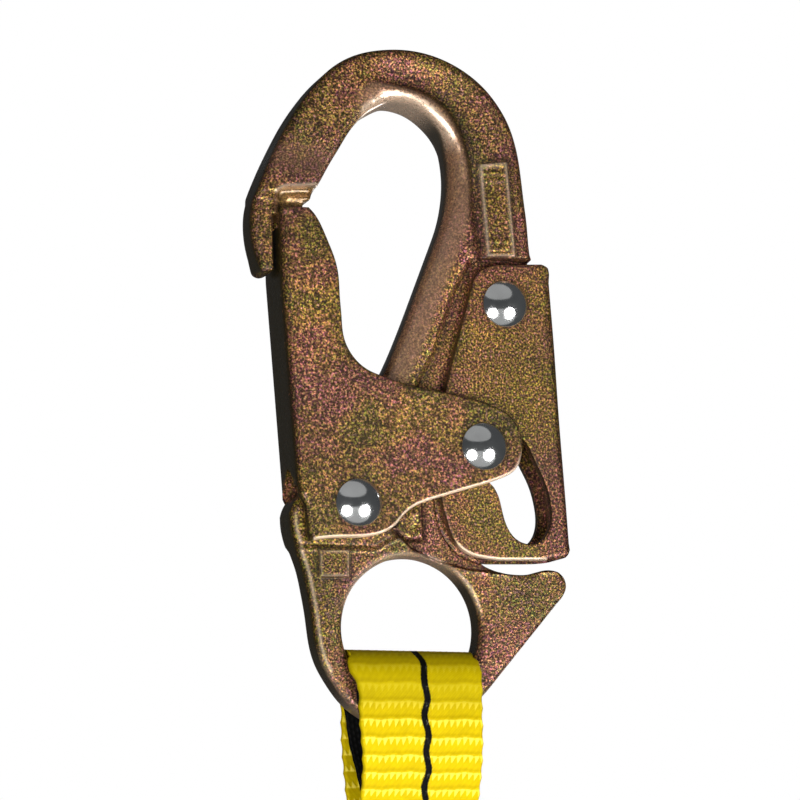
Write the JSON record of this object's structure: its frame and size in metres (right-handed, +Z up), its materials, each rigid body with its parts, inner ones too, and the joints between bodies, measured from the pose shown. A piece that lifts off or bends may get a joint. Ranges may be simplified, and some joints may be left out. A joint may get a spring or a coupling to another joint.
{
  "type": "self retracting lifeline",
  "caption": "Self retracting lifeline: double-locking snap hook on a sewn webbing line that winds into a compact retractor with a swivel eye.",
  "frame": {"origin": "bearing point at the top of the hook's bowl, on the hook's mid-plane", "axes": "+Z up from the retractor towards the hook, hook's flat front faces -Y, gate on the -X side"},
  "size_m": [0.0639, 0.084, 0.3782],
  "materials": {
    "zinc_chromate_steel": "yellow zinc chromate over shot-blasted forged steel, satin",
    "zinc_chromate_plate": "yellow zinc chromate over sheet steel, satin",
    "bright_rivet": "polished steel",
    "spring_steel": "spring steel",
    "yellow_webbing": "woven polyester",
    "black_webbing": "woven polyester",
    "thread": "bonded polyester thread",
    "black_rubber": "moulded rubber",
    "grey_plastic": "moulded nylon, fine texture",
    "black_plastic": "moulded nylon",
    "steel": "zinc plated steel",
    "stainless": "polished stainless steel"
  },
  "bodies": {
    "hook": {"hook_body": "zinc_chromate_steel", "gate_pivot_rivet": "bright_rivet", "lever_pivot_rivet": "bright_rivet", "gate_spring": "spring_steel", "lever_spring": "spring_steel"},
    "gate": {"gate_channel": "zinc_chromate_plate", "link_rivet": "bright_rivet"},
    "lever": {"lock_lever": "zinc_chromate_plate"},
    "line": {"webbing": "yellow_webbing", "wear_liner": "black_webbing", "loop_stitching": "thread", "line_stop": "black_rubber", "cover_left": "grey_plastic", "cover_right": "grey_plastic", "cover_screws": "stainless", "nozzle": "black_plastic", "frame_plate_left": "steel", "frame_plate_right": "steel", "foot_block": "steel", "frame_ties": "steel", "spring_cup": "black_plastic", "power_spring": "spring_steel", "ratchet_ring": "steel"},
    "spool": {"spool": "black_plastic", "spool_shaft": "steel", "webbing_roll": "yellow_webbing", "pawl_carrier": "steel"},
    "pawl_a": {"pawl_a": "steel"},
    "pawl_b": {"pawl_b": "steel"},
    "swivel": {"swivel_eye": "stainless"}
  },
  "joints": [
    {"name": "gate_hinge", "type": "hinge", "parent": "hook", "child": "gate", "pos_m": [-0.007, 0, -0.0785], "axis": [0, 1, 0], "range_deg": [0, 24], "stiffness_Nm_per_rad": 0.12, "springref_deg": -14.32, "deforming": ["gate_spring"]},
    {"name": "lever_hinge", "type": "hinge", "parent": "hook", "child": "lever", "pos_m": [0.023, 0, -0.0386], "axis": [0, 1, 0], "range_deg": [0, 10], "stiffness_Nm_per_rad": 0.08, "springref_deg": -14.32, "deforming": ["lever_spring"]},
    {"name": "line_swing", "type": "hinge", "parent": "hook", "child": "line", "pos_m": [0.0046, 0, -0.1145], "axis": [1, 0, 0], "range_deg": [-5, 5]},
    {"name": "spool_spin", "type": "hinge", "parent": "line", "child": "spool", "pos_m": [0.0056, 0, -0.268], "axis": [1, 0, 0], "continuous": true},
    {"name": "pawl_a_swing", "type": "hinge", "parent": "spool", "child": "pawl_a", "pos_m": [0.027, 0.01231, -0.26583], "axis": [-1, 0, 0], "range_deg": [0, 12], "stiffness_Nm_per_rad": 0.002, "springref_deg": -28.65},
    {"name": "pawl_b_swing", "type": "hinge", "parent": "spool", "child": "pawl_b", "pos_m": [0.027, -0.01231, -0.27017], "axis": [-1, 0, 0], "range_deg": [0, 12], "stiffness_Nm_per_rad": 0.002, "springref_deg": -28.65},
    {"name": "eye_swivel", "type": "hinge", "parent": "line", "child": "swivel", "pos_m": [0.0056, 0, -0.33], "axis": [0, 0, 1], "continuous": true}
  ],
  "couplings": [
    {"joint": "lever_hinge", "follows": "gate_hinge", "ratio": 0.41667}
  ]
}
